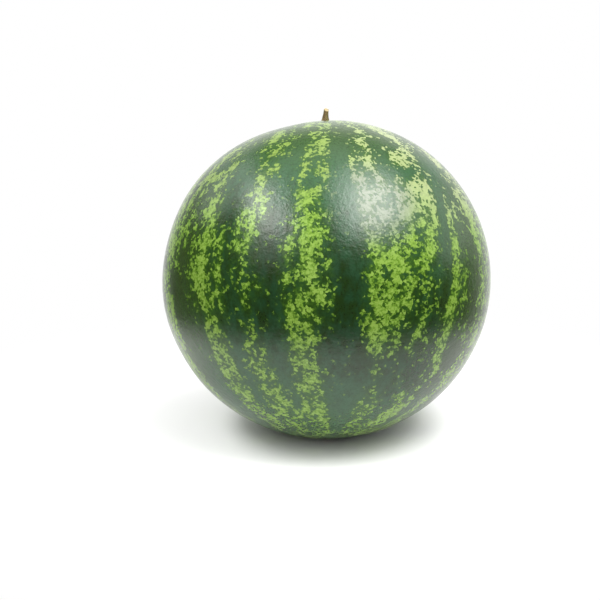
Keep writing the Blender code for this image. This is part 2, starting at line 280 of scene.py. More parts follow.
    ((34, 38.2, 43.2, 0.9), (31, 38.6, 43, 0.95), (29.2, 37.4, 42.4, 0.8), (27, 37, 41.6, 0.78),
     (24.8, 36, 40, 0.82), (22.4, 35, 39.6, 0.88), (18, 35.6, 39.2, 0.92), (15, 33.8, 39, 0.92),
     (11.6, 33, 38.8, 0.9), (8.4, 33, 38, 0.88), (5.2, 34.6, 37.2, 0.75)),
    ((28.4, 27.4, 31.2, 0.7), (26.4, 27.6, 31, 0.6)),
    ((28.6, 33, 35.2, 0.6), (27.2, 33, 35.2, 0.6)),
    ((25.4, 26.6, 32.4, 0.82), (22.2, 26.4, 32, 0.88), (20.4, 26, 30.6, 0.82), (17.8, 26.6, 30.4, 0.7),
     (15, 27.6, 30.6, 0.85), (11, 27.4, 30.6, 0.8)),
    # the right stripe and the thin ones beside it
    ((42, 46, 50, 0.2), (35, 45.4, 50, 0.5), (31, 45.4, 49.4, 0.62), (26, 45.4, 49.8, 0.7),
     (24.6, 46.2, 48.2, 0.82), (20.4, 46.2, 48, 0.78), (18, 45.2, 47.6, 0.85), (14.4, 45.2, 47.6, 0.85),
     (11, 45.4, 47.4, 0.7), (9.6, 45.2, 48.8, 0.92), (5.4, 45.6, 49, 0.85)),
    ((19.8, 48.6, 50, 0.7), (15.6, 48.6, 50, 0.6)),
    ((14, 48.2, 50.4, 0.72), (11.2, 48, 50, 0.72)),
    ((11.2, 42.2, 43.8, 0.7), (9.6, 42.2, 43.6, 0.6)),
    ((2.6, 41.6, 44.6, 0.78), (0, 42, 44.4, 0.82)),
    ((-0.4, 45.6, 47.9, 0.92), (-2.8, 45.6, 47.8, 0.92)),
    ((-3.8, 44, 47.4, 0.78), (-6, 43.6, 48, 0.92), (-10, 43.4, 47.8, 0.92), (-13, 42.2, 48, 0.88),
     (-16, 43.6, 48.2, 0.88), (-19, 44, 48, 0.92), (-22, 41.8, 47.2, 0.95), (-25, 42, 47, 0.92),
     (-28, 42.4, 49, 0.95), (-31.6, 44, 49.2, 0.95), (-34.4, 44.6, 49, 0.9), (-36.4, 45, 48, 0.75)),
    ((-12, 41, 42.4, 0.6), (-15.4, 41, 42.4, 0.55)),
    ((-35.2, 41.4, 43.2, 0.78), (-37.8, 41, 43, 0.7)),
    ((-38.4, 41.6, 45.4, 0.6), (-44, 42, 45.6, 0.55), (-45.4, 42, 45.4, 0.82), (-50, 41.6, 45, 0.85)),
    ((-43, 35, 37.6, 0.8), (-45, 34.4, 38.6, 0.92), (-48, 34, 39.6, 0.92), (-50, 33.6, 45, 0.85),
     (-54, 31, 44, 0.78), (-60, 28, 44, 0.68), (-78, 26, 50, 0.5)),
    ((25, 51.4, 54.6, 0.82), (24, 52.6, 54.2, 0.88), (21.4, 52.4, 54, 0.8)),
    ((9.4, 51.6, 53, 0.5), (7, 51.8, 53, 0.4)),
    ((6, 51.2, 52.6, 0.82), (3, 50.8, 53.2, 0.95), (-2, 50.8, 53, 0.92), (-3.6, 50.6, 53.6, 0.92),
     (-7.8, 50.8, 53.2, 0.92)),
    ((-12.4, 54.4, 56.2, 0.8), (-15, 55.2, 57, 0.82), (-17.4, 54, 58, 0.92), (-20.6, 54.8, 57.4, 0.88)),
    # right edge
    ((34, 60, 68, 0.5), (28, 60.5, 67.5, 0.75), (20, 61, 67, 0.8), (12, 62, 67.5, 0.75),
     (5, 63, 68, 0.55)),
    ((74, 52, 90, 0.6), (65, 56, 66, 0.62), (61, 51, 57, 0.7)),
    ((54.8, 52, 56, 0.78), (51, 49.6, 52.6, 0.78)),
    ((48, 68, 82, 0.6), (46, 64.5, 74, 0.75), (43.6, 62.4, 69.6, 0.88), (41, 61.6, 65.6, 0.75)),
    ((39.6, 62.4, 67, 0.55), (38, 62, 66, 0.5)),
    ((39, 69, 73, 0.6), (36.6, 68, 73, 0.7), (34.6, 65, 74, 0.88), (31.8, 66, 73, 0.7)),
    ((32.4, 55, 58, 0.7), (31, 52.8, 57, 0.55)),
    ((31.8, 60, 62.6, 0.7), (30, 60, 62.4, 0.6)),
    ((30, 62, 65.4, 0.82), (27.6, 61.8, 65, 0.78)),
    ((28.8, 58, 60.4, 0.82), (26.4, 57.4, 60.2, 0.82), (22, 55.4, 59.6, 0.92), (19, 55, 58.6, 0.9),
     (16.6, 56.4, 60.4, 0.88), (14.6, 59, 66, 0.88), (12, 60.6, 67.6, 0.92), (9.8, 61.6, 66.8, 0.78),
     (9, 62, 64, 0.4)),
    ((23, 66, 68, 0.7), (20.6, 64.6, 69, 0.82), (17, 62.4, 67.4, 0.88), (14, 62, 67, 0.88)),
    ((7.6, 58.6, 61, 0.78), (4.6, 59.4, 62, 0.82), (2, 59.4, 62, 0.6)),
    ((6, 66, 70, 0.8), (4, 64.4, 69.6, 0.88)),
    ((1.4, 64, 66.2, 0.6), (-6, 63.8, 66.4, 0.7)),
    ((-6.8, 65.6, 72, 0.82), (-8.4, 65.6, 72, 0.7)),
    ((-1.6, 58.8, 60.2, 0.6), (-3, 58.8, 60.2, 0.5)),
    ((-12.8, 60, 61.4, 0.5), (-14.4, 60, 61.4, 0.4)),
    ((-16.8, 61.2, 64, 0.78), (-19.6, 61.2, 63.8, 0.7)),
    ((-16.4, 65.6, 70, 0.78), (-19.6, 65.8, 70.4, 0.78), (-24, 66.8, 70, 0.62), (-31, 65.6, 69.4, 0.6)),
    ((-21, 61.8, 64, 0.6), (-26, 63, 65, 0.5)),
    ((-30.6, 58, 64, 0.4), (-34, 57, 64, 0.6), (-40, 55, 66, 0.5), (-46, 54, 64, 0.5), (-53, 52, 62, 0.6),
     (-58, 50.5, 61, 0.8), (-78, 42, 78, 0.7)),
    ((31.6, 76, 86, 0.7), (27, 75, 86, 0.6), (20, 74, 86, 0.7), (5, 74, 82, 0.5), (-10, 74, 82, 0.6),
     (-40, 76, 86, 0.6), (-78, 70, 100, 0.6)),
)

# Bands of the front with hardly a pale flake in them, as above: the last number is how clear they are.
CLEAR_BANDS = (
    ((60, 60, 70, 0.5), (43, 52.5, 60, 0.8), (32, 46, 51, 0.9), (20, 43.4, 46.4, 0.95),
     (8, 40.6, 45, 0.95), (-4, 40.4, 44.2, 0.9), (-12, 39, 42, 0.6)),
    ((45, 56, 64, 0.5), (33, 54.6, 59, 0.8), (19, 54.4, 58.4, 0.8), (8, 57, 62.4, 0.8), (-4, 57, 62, 0.7),
     (-16, 54, 60, 0.5)),
    ((41.5, 22, 30, 0.5), (39, 22, 44, 0.8), (36, 22, 34, 0.6)),
    ((60, 27, 34, 0.4), (50, 23, 29, 0.8), (42, 23, 28.5, 0.7)),
    ((62, 2, 14, 0.7), (45, 1.5, 9, 0.9), (30, 1.5, 9, 0.9), (10, 1.5, 10, 0.9), (-10, 2, 10, 0.8),
     (-25, 1, 11, 0.6)),
)

# A stripe whose end lies beyond this latitude runs on over the fruit's end.
RUNS_ON = 68
# The most of the skin that is pale in any stripe.
FULLEST = 0.75
# In millimetres: half the width of the soft edge of a stripe and of a clear band, and how far the leaf
# green and the stray flakes reach from a stripe.
EDGE = 3.2
CLEAR_EDGE = 1.6
HALO_REACH = 9.0
# The stray flakes round a stripe, as a share of the pale skin in it.
STRAY_SHARE = 0.22

# The stripes of the hidden side follow a rule, with every draw seeded. Their middles lie between two
# longitudes, and their half widths between two values, all in degrees.
BACK_FROM = 97
BACK_TO = 268
BACK_STRIPES = 9
BACK_SEED = 41
BACK_LATITUDES = tuple(range(80, -81, -6))
BACK_WIDTHS = (3.4, 6.2)
# How far the scatter of flakes round such a stripe reaches left and right of it, and its share.
SCATTER_LEFT = 1.5
SCATTER_RIGHT = 2.5
SCATTER_SHARE = 0.5
# The branch beside each: how many rows long, its half width, its gap from the stripe and its share.
BRANCH_ROWS = 5
BRANCH_HALF = 1.4
BRANCH_GAP = 2.5
BRANCH_SHARE = 0.7

# ---- Colours ----


def srgb(red, green, blue):
    """A display colour, 0 to 255, as a linear one with alpha."""
    parts = [value / 255 for value in (red, green, blue)]
    return (*(c / 12.92 if c <= 0.04045 else ((c + 0.055) / 1.055) ** 2.4 for c in parts), 1)


DEEP_GREEN = srgb(24, 44, 12)
DARKEST_GREEN = srgb(14, 28, 8)
BLUE_GREEN = srgb(26, 55, 31)
# Teal of the bloom: partly real bloom, partly painted sheen of the gloss haze.
BLOOM_AND_SHEEN_GREEN = srgb(46, 80, 52)
LEAF_GREEN = srgb(40, 72, 12)
MID_GREEN = srgb(60, 92, 24)
PALE_GREEN = srgb(98, 131, 42)
PALEST_GREEN = srgb(122, 152, 64)
OLIVE_GREEN = srgb(52, 69, 26)
# Pale skin towards the top: duller and greyer.
TOP_DULL_GREEN = srgb(108, 125, 64)
# Grey-white pale skin under the right highlight: painted highlight.
DULL_HIGHLIGHT_WASH = srgb(70, 87, 64)
HIGHLIGHT_WASH = srgb(101, 105, 98)
# Cream pale skin towards the upper right: painted sheen.
SHEEN_CREAM = srgb(150, 158, 116)
CORK = srgb(122, 98, 62)
DARK_BARK = srgb(44, 30, 11)
LIGHT_BARK = srgb(112, 88, 48)
GREENISH_BARK = srgb(92, 84, 44)
DARK_CUT = srgb(132, 114, 80)
LIGHT_CUT = srgb(172, 158, 122)

# Which way bloom and painted sheen thicken, and where the painted cream sheen and painted highlight lie.
BLOOM_AND_SHEEN_WAY = (0.35, 0.00, 0.94)
SHEEN_CREAM_WAY = (0.50, -0.45, 0.74)
HIGHLIGHT_WASH_WAY = (0.24, -0.86, 0.45)
# How far out that way, or sideways or up, a colour comes in and is strongest, in millimetres from the
# fruit's centre, and its share of the mix at both.
OLIVE_ZONE = (64.0, 112.0, 0.0, 0.7)
# Pale skin is duller and greyer towards the top.
TOP_DULL_ZONE = (35.0, 85.0, 0.0, 0.6)
# The cream pale skin towards the upper right is painted sheen.
SHEEN_CREAM_ZONE = (98.0, 124.0, 0.0, 0.65)
# The grey-white pale skin centred under the right highlight is painted highlight.
HIGHLIGHT_WASH_ZONE = (117.5, 123.5, 0.0, 0.8)
# The corky scars lie this far up or down, and end this far from the fruit's own axis.
END_ZONE = (100.0, 112.0)
CORK_ZONE = (2.8, 5.4, 1.0, 0.0)
# The bloom and its painted sheen are thinnest this far from the centre, on the side away from their way,
# in a dark belt of painted shade, and thicken both ways. The mottling counts as up to so many millimetres
# more.
SHADE_BELT_LEVEL = 15.0
BLOOM_AND_SHEEN_MOTTLE = 60.0
BLOOM_AND_SHEEN_ZONE = (45.0, 115.0)

# ---- The rind's texture: sizes in millimetres ----
# The skin turns pale in cells: a point counts as lying this share of the way to its cell's middle.
CELL_SIZE = 1.7
CELL_SHARE = 0.75
# The cells' net is bent by noise with lumps of this size, by up to half of this far each way.
BEND_SIZE = 3.0
BEND = 2.4
# What makes one place turn pale before another: large lumps, small lumps and each cell's own draw. This
# range of their sum is stretched to 0 to 1.
LARGE_LUMPS = 8.0
SMALL_LUMPS = 3.0
LUMP_WEIGHTS = (0.42, 0.44, 0.14)
ORDER_RANGE = (0.33, 0.65)
# How far the pale share is from a place's turn where the skin is wholly pale or wholly dark.
FLAKE_EDGE = 0.06
# The mottling of the dark skin, drawn out up the fruit, and the fine unevenness of all colours.
MOTTLE_SIZE = 6.0
MOTTLE_STREAK = 0.5
SHADE_SIZE = 1.6
# The relief and the gloss.
PORE_SIZE = 1.5
DENT_SIZE = 3.4
DENT_WEIGHT = 1.2
RELIEF = 0.14 * MM
GLOSS_PATCH = 6.0
SMOOTHEST, ROUGHEST = 0.21, 0.27


# ---- Small helpers ----


def smoothstep(low, high, value):
    """0 below low, 1 above high, and an even rise between them."""
    share = np.clip((value - low) / (high - low), 0, 1)
    return share * share * (3 - 2 * share)


def direction(longitude, latitude):
    """The way out from the fruit's centre at a longitude and a latitude in degrees."""
    longitude, latitude = math.radians(longitude), math.radians(latitude)
    level = math.cos(latitude)
    return np.array((level * math.sin(longitude), -level * math.cos(longitude), math.sin(latitude)))


def mesh_object(name, points, faces, materials):
    """An object in the scene with smooth shading and these materials."""
    mesh = bpy.data.meshes.new(name)
    mesh.from_pydata(points.tolist(), [], faces)
    mesh.shade_smooth()
    for material in materials:
        mesh.materials.append(material)
    made = bpy.data.objects.new(name, mesh)
    bpy.context.scene.collection.objects.link(made)
    return made


class Tree:
    """A material's nodes, each added by one short call."""

    def __init__(self, name):
        self.material = bpy.data.materials.new(name)
        self.material.use_nodes = True
        self.nodes = self.material.node_tree.nodes
        self.links = self.material.node_tree.links
        self.shader = self.nodes["Principled BSDF"]

    def add(self, kind, inputs, **settings):
        """A new node's outputs. Each input is a value, or another node's output to link from."""
        made = self.nodes.new("ShaderNode" + kind)
        for name, value in settings.items():
            setattr(made, name, value)
        for key, value in inputs.items():
            self.put(made.inputs[key], value)
        return made.outputs

    def put(self, socket, value):
        if isinstance(value, bpy.types.NodeSocket):
            self.links.new(value, socket)
        else:
            socket.default_value = value

    def math(self, operation, *values):
        return self.add("Math", dict(enumerate(values)), operation=operation)[0]

    def vector(self, operation, *values):
        outputs = self.add("VectorMath", dict(enumerate(values)), operation=operation)
        return outputs[1] if operation in ("LENGTH", "DOT_PRODUCT") else outputs[0]

    def scaled(self, vector, scale):
        return self.add("VectorMath", {0: vector, "Scale": scale}, operation="SCALE")[0]

    def ramp(self, value, low, high, to_low=0.0, to_high=1.0):
        """An even, clamped and smooth rise of value from low to high."""
        inputs = {"Value": value, 1: low, 2: high, 3: to_low, 4: to_high}
        return self.add("MapRange", inputs, interpolation_type="SMOOTHSTEP")[0]

    def mix(self, factor, first, second):
        """Two colours, mixed by factor."""
        return self.add("Mix", {0: factor, 6: first, 7: second}, data_type="RGBA")[2]

    def blend(self, factor, first, second):
        """Two vectors, mixed by factor."""
        return self.add("Mix", {0: factor, 4: first, 5: second}, data_type="VECTOR")[1]

    def noise(self, place, size, detail=2.0, roughness=0.5):
        """Noise whose lumps are about size across, in the unit of place. Returns (value, colour)."""
        inputs = {"Vector": place, "Scale": 1 / size, "Detail": detail, "Roughness": roughness}
        return self.add("TexNoise", inputs)

    def shade(self, **inputs):
        """Sets the shader's sockets, named with _ for a space."""
        for name, value in inputs.items():
            self.put(self.shader.inputs[name.replace("_", " ").title().replace("Ior", "IOR")], value)


# ---- Fruit: its form ----


def crowd(value):
    """Numbers from -1 to 1, drawn in towards 0."""
    return value * (1 - POLE_CROWDING) + POLE_CROWDING * value**3


def cube_face_grid():
    """Face coordinates -1 to 1 as (rows, columns), crowded towards the middle for the two ends."""
    steps = np.linspace(-1, 1, FACE_CELLS + 1)
    across, up = np.meshgrid(steps, steps)
    end_across = across + (crowd(across) - across) * (1 - up**2)
    end_up = up + (crowd(up) - up) * (1 - across**2)
    return (across, up), (end_across, end_up)


def ball_of_quads():
    """Directions all round, quads, and each quad corner's place in a three by two sheet of faces."""
    side_grid, end_grid = cube_face_grid()
    count = FACE_CELLS + 1
    faces = (
        (side_grid, (1, 0, 0), (0, 0, 1), (0, -1, 0)),
        (side_grid, (0, 1, 0), (0, 0, 1), (1, 0, 0)),
        (side_grid, (-1, 0, 0), (0, 0, 1), (0, 1, 0)),
        (side_grid, (0, -1, 0), (0, 0, 1), (-1, 0, 0)),
        (end_grid, (1, 0, 0), (0, 1, 0), (0, 0, 1)),
        (end_grid, (1, 0, 0), (0, -1, 0), (0, 0, -1)),
    )
    index = np.arange(count * count).reshape(count, count)
    corners = np.stack(
        (index[:-1, :-1], index[:-1, 1:], index[1:, 1:], index[1:, :-1]), axis=-1
    ).reshape(-1, 4)
    steps = np.linspace(0, 1, count)
    sheet = np.stack(np.meshgrid(steps, steps), axis=-1).reshape(-1, 2)
    points, quads, places = [], [], []
    for number, (grid, right, up, out) in enumerate(faces):
        across, along = (np.tan(part * math.pi / 4)[..., None] for part in grid)
        point = across * np.array(right) + along * np.array(up) + np.array(out)
        point /= np.linalg.norm(point, axis=-1, keepdims=True)
        points.append(point.reshape(-1, 3))
        quads.append(corners + number * count * count)
        cell = np.array(((number % 3) / 3, (number // 3) / 2)) + SHEET_GAP
        size = np.array((1 / 3, 1 / 2)) - 2 * SHEET_GAP
        places.append((cell + sheet * size)[corners].reshape(-1, 2))
    points = np.concatenate(points)
    _, first, same = np.unique(np.round(points, 6), axis=0, return_index=True, return_inverse=True)
    return points[first], same.reshape(-1)[np.concatenate(quads)], np.concatenate(places)


def fruit_surface(out):
    """The skin's points for directions out from the centre, upright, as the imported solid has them."""
    points = out * np.array((EQUATOR_RADIUS, EQUATOR_RADIUS, POLAR_RADIUS))
    radius = np.hypot(points[:, 0], points[:, 1])
    floor = np.maximum(radius, HOLLOW_FLOOR_RADIUS)
    hollow = HOLLOW_DEPTH * (1 - smoothstep(0, HOLLOW_RADIUS, floor))
    level = POLAR_RADIUS * np.sqrt(1 - (HOLLOW_FLOOR_RADIUS / EQUATOR_RADIUS) ** 2)
    dimple = SCAR_DIMPLE_DEPTH * (1 - smoothstep(0, SCAR_DIMPLE_RADIUS, radius))
    button = SCAR_BUTTON_HEIGHT * (1 - smoothstep(0.5, 1, radius / SCAR_BUTTON_RADIUS))
    top = np.minimum(points[:, 2], level) - hollow
    points[:, 2] = np.where(out[:, 2] > 0, top, points[:, 2] + dimple - button)

    away = points / np.linalg.norm(points, axis=1, keepdims=True)
    longitude = np.arctan2(points[:, 0], -points[:, 1])
    lift = RIB_HEIGHT * np.cos(RIB_COUNT * longitude) * (radius / EQUATOR_RADIUS) ** 2
    for turn, latitude, width, height in SWELLS:
        angle = np.arccos(np.clip(away @ direction(turn, latitude), -1, 1))
        lift += height * np.exp(-((angle / math.radians(width)) ** 2))
    ends = smoothstep(HOLLOW_FLOOR_RADIUS, HOLLOW_RADIUS, radius)
    return points + away * (lift * ends)[:, None]


# ---- Fruit: its stripes ----


def back_stripes():
    """The hidden side's stripes: about evenly spaced, wandering, and each with its own width.

    Each has a thin scatter of flakes round it and a short branch beside it.
    """
    draw = random.Random(BACK_SEED)
    stripes = []
    for number in range(BACK_STRIPES):
        middle = BACK_FROM + (BACK_TO - BACK_FROM) * number / (BACK_STRIPES - 1) + draw.uniform(-2, 2)
        width = draw.uniform(*BACK_WIDTHS)
        wander = [draw.uniform(0, math.tau) for _ in range(4)]
        rows = []
        for latitude in BACK_LATITUDES:
            phase = math.radians(latitude)
            sway = 1.8 * math.sin(3 * phase + wander[0]) + 1.1 * math.sin(9 * phase + wander[1])
            swell = 1 + 0.25 * math.sin(5 * phase + wander[2]) + draw.uniform(-0.15, 0.15)
            cover = 0.64 + 0.16 * math.sin(7 * phase + wander[3]) + draw.uniform(-0.1, 0.1)
            half = width * swell / max(0.5, math.cos(phase) ** 0.4)
            rows.append((latitude, middle + sway - half, middle + sway + half, cover))
        scatter = [
            (latitude, left - SCATTER_LEFT, right + SCATTER_RIGHT, SCATTER_SHARE * cover)
            for latitude, left, right, cover in rows
        ]
        first = draw.randrange(4, 16)
        beside = draw.choice((-1, 1)) * (width + BRANCH_GAP)
        branch = []
        for latitude, left, right, _ in rows[first : first + BRANCH_ROWS]:
            place = (left + right) / 2 + beside
            branch.append((latitude, place - BRANCH_HALF, place + BRANCH_HALF, BRANCH_SHARE))
        stripes += [rows, scatter, branch]
    return stripes


def stripe_depth(stripe, longitude, latitude):
    """How far each place lies inside the stripe's edges, in millimetres, and the stripe's share there."""
    rows = np.array(stripe)[::-1]
    left, right, share = (np.interp(latitude, rows[:, 0], rows[:, k]) for k in (1, 2, 3))
    aside = np.abs((longitude - (left + right) / 2 + 180) % 360 - 180)
    inside = ((right - left) / 2 - aside) * np.cos(np.radians(latitude))
    if rows[-1, 0] < RUNS_ON:
        inside = np.minimum(inside, rows[-1, 0] - latitude)
    if rows[0, 0] > -RUNS_ON:
        inside = np.minimum(inside, latitude - rows[0, 0])
    return inside * EQUATOR_RADIUS / MM * math.pi / 180, share


def stripe_cover(out):
    """For each direction, the share of pale skin there, and of leaf green round the pale stripes.

    The clear bands take from both.
    """
    latitude = np.degrees(np.arcsin(np.clip(out[:, 2], -1, 1)))
    longitude = np.degrees(np.arctan2(out[:, 0], -out[:, 1]))
    pale, leaf = np.zeros(len(out)), np.zeros(len(out))
    for stripe in list(FRONT_STRIPES) + back_stripes():
        inside, share = stripe_depth(stripe, longitude, latitude)
        share = np.minimum(share, FULLEST)
        pale = np.maximum(pale, share * smoothstep(-EDGE, EDGE, inside))
        pale = np.maximum(pale, STRAY_SHARE * share * smoothstep(-HALO_REACH, 0, inside))
        leaf = np.maximum(leaf, share * smoothstep(-HALO_REACH, EDGE, inside))
    for band in CLEAR_BANDS:
        inside, clear = stripe_depth(band, longitude, latitude)
        kept = 1 - clear * smoothstep(-CLEAR_EDGE, CLEAR_EDGE, inside)
        pale, leaf = pale * kept, leaf * kept
    return pale, leaf


# ---- Fruit: its rind ----


def pale_order(tree, place):
    """When each place turns pale as a stripe fills up, 0 to 1, and a draw for each cell.

    The skin turns pale cell by cell, so every edge between pale and dark is jagged.
    """
    bend = tree.vector("SUBTRACT", tree.noise(place, BEND_SIZE, 2.0)["Color"], (0.5, 0.5, 0.5))
    bent = tree.vector("ADD", place, tree.scaled(bend, BEND))
    cells = tree.add("TexVoronoi", {"Vector": bent, "Scale": 1 / CELL_SIZE, "Randomness": 1.0})
    stepped = tree.blend(CELL_SHARE, bent, cells["Position"])
    draws = tree.add("SeparateColor", {"Color": cells["Color"]})
    large = tree.noise(stepped, LARGE_LUMPS, 1.0)[0]
    small = tree.noise(stepped, SMALL_LUMPS, 1.0)[0]
    order = tree.math("MULTIPLY", large, LUMP_WEIGHTS[0])
    order = tree.math("MULTIPLY_ADD", small, LUMP_WEIGHTS[1], order)
    order = tree.math("MULTIPLY_ADD", draws[0], LUMP_WEIGHTS[2], order)
    return tree.ramp(order, *ORDER_RANGE), draws[1]


def dark_skin(tree, place, height, shade, cover, lead):
    """Deep green; bloom and painted sheen with a belt of painted shade; olive at sides and top; greener
    by stripes.
    """
    streaked = tree.vector("MULTIPLY", place, (1.0, 1.0, MOTTLE_STREAK))
    mottle = tree.noise(streaked, MOTTLE_SIZE, 3.0, 0.6)[0]
    dark = tree.mix(tree.ramp(mottle, 0.35, 0.65), DEEP_GREEN, BLUE_GREEN)
    # Bloom and painted sheen, thinnest in a dark belt of painted shade round the lower middle.
    along = tree.vector("DOT_PRODUCT", place, BLOOM_AND_SHEEN_WAY)
    bloom_and_sheen = tree.math("ABSOLUTE", tree.math("ADD", along, SHADE_BELT_LEVEL))
    bloom_and_sheen = tree.math("MULTIPLY_ADD", mottle, BLOOM_AND_SHEEN_MOTTLE, bloom_and_sheen)
    dark = tree.mix(tree.ramp(bloom_and_sheen, *BLOOM_AND_SHEEN_ZONE), dark, BLOOM_AND_SHEEN_GREEN)
    aside = tree.math("ABSOLUTE", tree.vector("DOT_PRODUCT", place, (1.0, 0.0, 0.0)))
    outward = tree.math("MAXIMUM", aside, height)
    dark = tree.mix(tree.ramp(outward, *OLIVE_ZONE), dark, OLIVE_GREEN)
    near = tree.add("Attribute", {}, attribute_name="leaf_share")["Fac"]
    halo = tree.math("MULTIPLY", near, tree.ramp(lead, -0.75, 0.0, 0.30, 1.0))
    dark = tree.mix(halo, dark, LEAF_GREEN)
    inner = tree.math("MULTIPLY", cover, tree.ramp(lead, -0.35, 0.0, 0.12, 0.9))
    dark = tree.mix(inner, dark, MID_GREEN)
    return tree.mix(tree.ramp(shade, 0.45, 0.66, 0.0, 0.3), dark, DARKEST_GREEN)


def pale_skin(tree, place, height, shade, draw, lead):
    """Mid green at edges, palest inside, duller at the top, cream painted sheen, grey-white painted
    highlight.
    """
    tint = tree.math("MULTIPLY_ADD", draw, 0.20, tree.math("MULTIPLY", shade, 0.85))
    tint = tree.math("MULTIPLY_ADD", tree.ramp(lead, -0.1, 0.6), 0.22, tint)
    pale = tree.mix(tree.ramp(tint, 0.42, 0.62), MID_GREEN, PALE_GREEN)
    pale = tree.mix(tree.ramp(tint, 0.60, 0.80), pale, PALEST_GREEN)
    # Duller and greyer towards the top.
    pale = tree.mix(tree.ramp(height, *TOP_DULL_ZONE), pale, TOP_DULL_GREEN)
    # Cream towards the upper right: painted sheen.
    sheen_share = tree.ramp(tree.vector("DOT_PRODUCT", place, SHEEN_CREAM_WAY), *SHEEN_CREAM_ZONE)
    pale = tree.mix(sheen_share, pale, SHEEN_CREAM)
    # Grey-white under the right highlight: painted highlight.
    highlight_wash = tree.mix(tree.ramp(tint, 0.42, 0.72), DULL_HIGHLIGHT_WASH, HIGHLIGHT_WASH)
    washed = tree.ramp(tree.vector("DOT_PRODUCT", place, HIGHLIGHT_WASH_WAY), *HIGHLIGHT_WASH_ZONE)
    return tree.mix(washed, pale, highlight_wash)


def scar_share(tree, place, height):
    """1 on the corky scars at the two ends, and 0 elsewhere."""
    off_axis = tree.vector("LENGTH", tree.vector("MULTIPLY", place, (1.0, 1.0, 0.0)))
    at_end = tree.ramp(tree.math("ABSOLUTE", height), *END_ZONE)
    return tree.math("MULTIPLY", at_end, tree.ramp(off_axis, *CORK_ZONE))


def rind_material(leaning, centre):
    tree = Tree("rind")
    own = tree.add("TexCoord", {})["Object"]
    moved = tree.vector("SUBTRACT", own, tuple(centre))
    upright = leaning.inverted().to_euler()
    turned = tree.add("Mapping", {"Vector": moved, "Rotation": upright})[0]
    place = tree.scaled(turned, 1 / MM)
    height = tree.vector("DOT_PRODUCT", place, (0.0, 0.0, 1.0))
    shade = tree.noise(place, SHADE_SIZE, 2.0, 0.6)[0]

    cover = tree.add("Attribute", {}, attribute_name="pale_share")["Fac"]
    order, draw = pale_order(tree, place)
    lead = tree.math("SUBTRACT", cover, order)
    dark = dark_skin(tree, place, height, shade, cover, lead)
    pale = pale_skin(tree, place, height, shade, draw, lead)
    skin = tree.mix(tree.ramp(lead, -FLAKE_EDGE, FLAKE_EDGE), dark, pale)
    skin = tree.mix(scar_share(tree, place, height), skin, CORK)

    pores = tree.noise(place, PORE_SIZE, 2.0, 0.6)[0]
    dents = tree.noise(place, DENT_SIZE, 1.0)[0]
    relief = tree.math("MULTIPLY_ADD", dents, DENT_WEIGHT, pores)
    bump = tree.add("Bump", {"Strength": 1.0, "Distance": RELIEF, "Height": relief})[0]
    patches = tree.noise(place, GLOSS_PATCH, 3.0, 0.6)[0]
    roughness = tree.ramp(patches, 0.3, 0.7, SMOOTHEST, ROUGHEST)
    tree.shade(base_color=skin, roughness=roughness, ior=1.45, normal=bump)
    return tree.material


def make_fruit(leaning):
    """Makes the fine fruit in its place, and gives the fruit's centre."""
    out, quads, sheet = ball_of_quads()
    upright = fruit_surface(out)
    points = upright @ np.array(leaning).T
    flat = points[:, 2].min() + FLAT_DEPTH
    points[:, 2] = np.maximum(points[:, 2], flat)
    low, high = (np.array(corner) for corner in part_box("fruit"))
    middle = (points.min(0) + points.max(0)) / 2
    centre = (low + high) / 2 - middle
    centre[2] = low[2] - flat
    fruit = mesh_object("rind", points + centre, quads.tolist(), [rind_material(leaning, centre)])
    for name, share in zip(("pale_share", "leaf_share"), stripe_cover(out)):
        marks = fruit.data.attributes.new(name, "FLOAT", "POINT")
        marks.data.foreach_set("value", share.astype(np.float32))
    uv = fruit.data.uv_layers.new(name="OFBake")
    uv.data.foreach_set("uv", sheet.astype(np.float32).ravel())
    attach(fruit, "root")
    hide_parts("fruit")
    return Vector(centre)


# ---- Stem ----


def stem_points():
    """Rows of points up the upright stem to its cut and inward over the cut, and how many rows.

    z = 0 lies the stem's clearance above the hollow's floor, and the foot reaches down to the floor.
    """
    turn = np.linspace(0, math.tau, STEM_SIDES, endpoint=False)
    heights, radii = np.array(STEM_PROFILE).T * MM
    draw = random.Random(FIBRE_SEED)
    fibres = [
        (draw.randrange(9, 40), draw.uniform(0, math.tau), draw.uniform(2, 7))
        for _ in range(FIBRE_COUNT)
    ]

    def ring(height):
        """The points round the stem, given each side's height, before the cut."""
        share = np.clip(height / STEM_LENGTH, 0, None)
        angle = turn + STEM_TWIST * share
        radius = np.interp(height, heights, radii)
        ridge = 1 + STEM_RIDGE_SHARE * np.cos(STEM_RIDGES * angle)
        for count, phase, wave in fibres:
            ridge += FIBRE_SHARE * np.cos(count * angle + phase + math.tau * height / (wave * MM))
        radius = radius * ridge
        x = radius * np.cos(turn) + STEM_SWAY * share**1.5
        return np.stack((x, radius * np.sin(turn), height), axis=1)

    def cut_height(x, y):
        normal = STEM_CUT_NORMAL
        return STEM_LENGTH - (normal.x * (x - STEM_SWAY) + normal.y * y) / normal.z

    top = np.full(STEM_SIDES, STEM_LENGTH)
    for _ in range(CUT_PASSES):
        rim = ring(top)
        top = cut_height(rim[:, 0], rim[:, 1])
    foot = heights[0]
    rows = [ring(foot + (top - foot) * share) for share in np.linspace(0, 1, STEM_ROWS)]
    rim = rows[-1]
    middle = np.array((STEM_SWAY, 0, STEM_LENGTH))
    for row in range(1, STEM_CAP_ROWS + 1):
        shrink = 1 - row / STEM_CAP_ROWS
        hollow = CUT_HOLLOW * smoothstep(1.0, 0.8, shrink)
        cap = middle + (rim - middle) * max(shrink, 0.01)
        rows.append(cap - np.array(STEM_CUT_NORMAL) * hollow)
    return np.concatenate(rows), len(rows)


